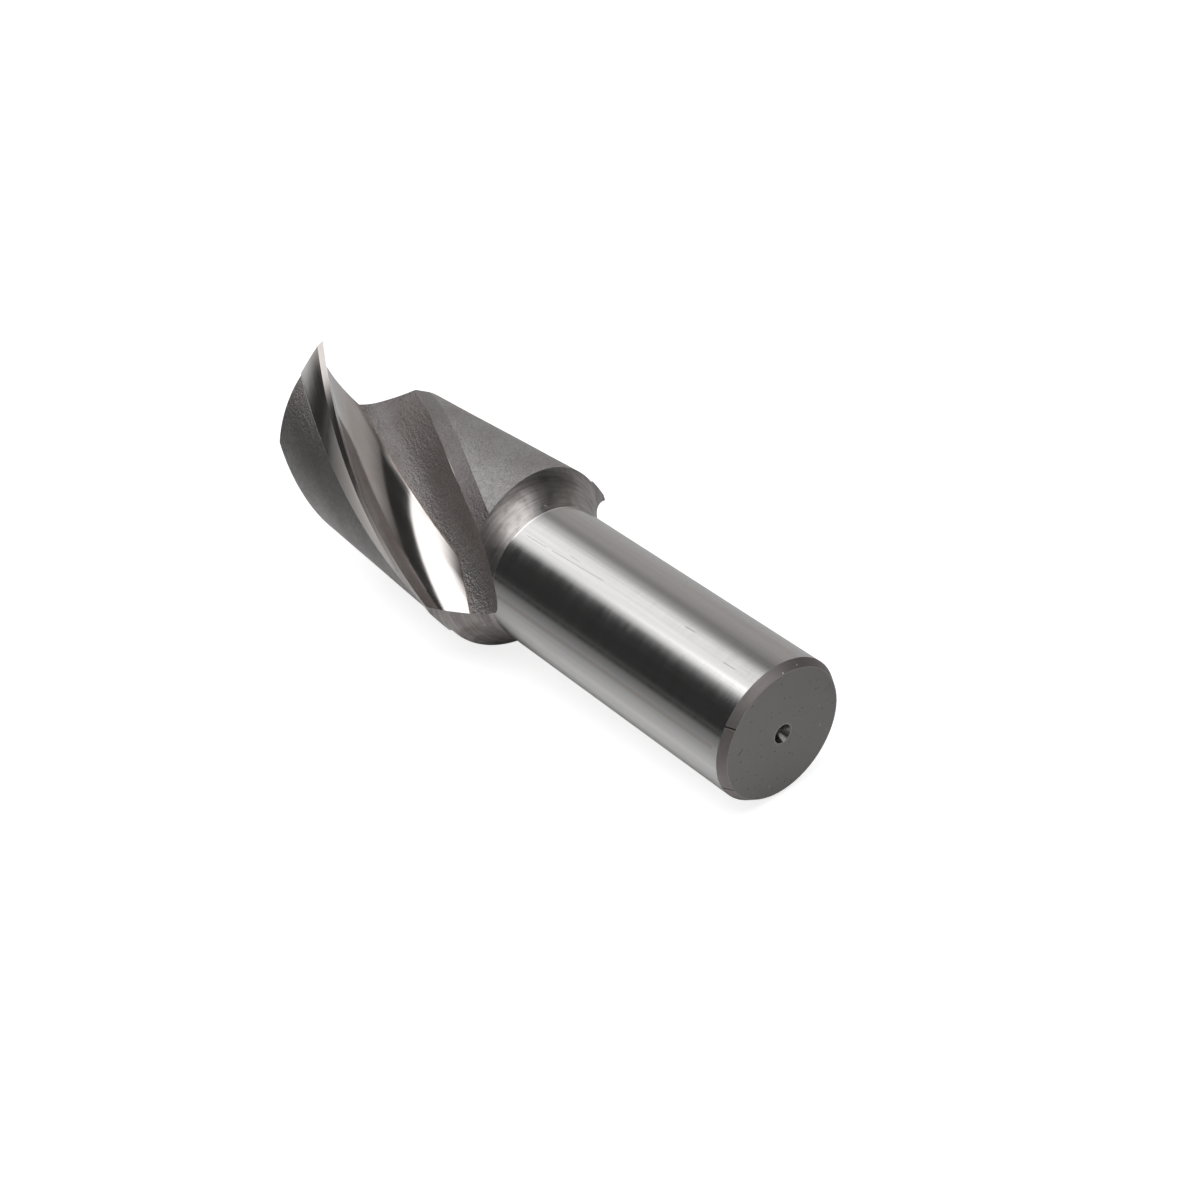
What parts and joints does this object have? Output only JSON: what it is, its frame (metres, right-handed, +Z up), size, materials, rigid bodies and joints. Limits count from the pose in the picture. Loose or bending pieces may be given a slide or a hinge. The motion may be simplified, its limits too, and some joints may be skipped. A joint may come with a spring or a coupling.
{
  "type": "two-flute end mill",
  "caption": "Straight-shank milling cutter with a waisted neck and a wider helical head, for cutting slots, steps and pockets in metal.",
  "frame": {"origin": "on the bench, under the middle of the box round the tool as it lies at rest", "axes": "+Z up from the bench; the tool's axis lies in the XZ plane, with the shank end towards +X, and rises 3.5 degrees towards the cutting end at -X"},
  "size_m": [0.1242, 0.04, 0.0398],
  "materials": {
    "high_speed_steel": "ground bright on the shank, lands and cutting faces, dark and rough on the unground backs and flutes"
  },
  "bodies": {
    "root": {"end_mill": "high_speed_steel"}
  },
  "joints": []
}
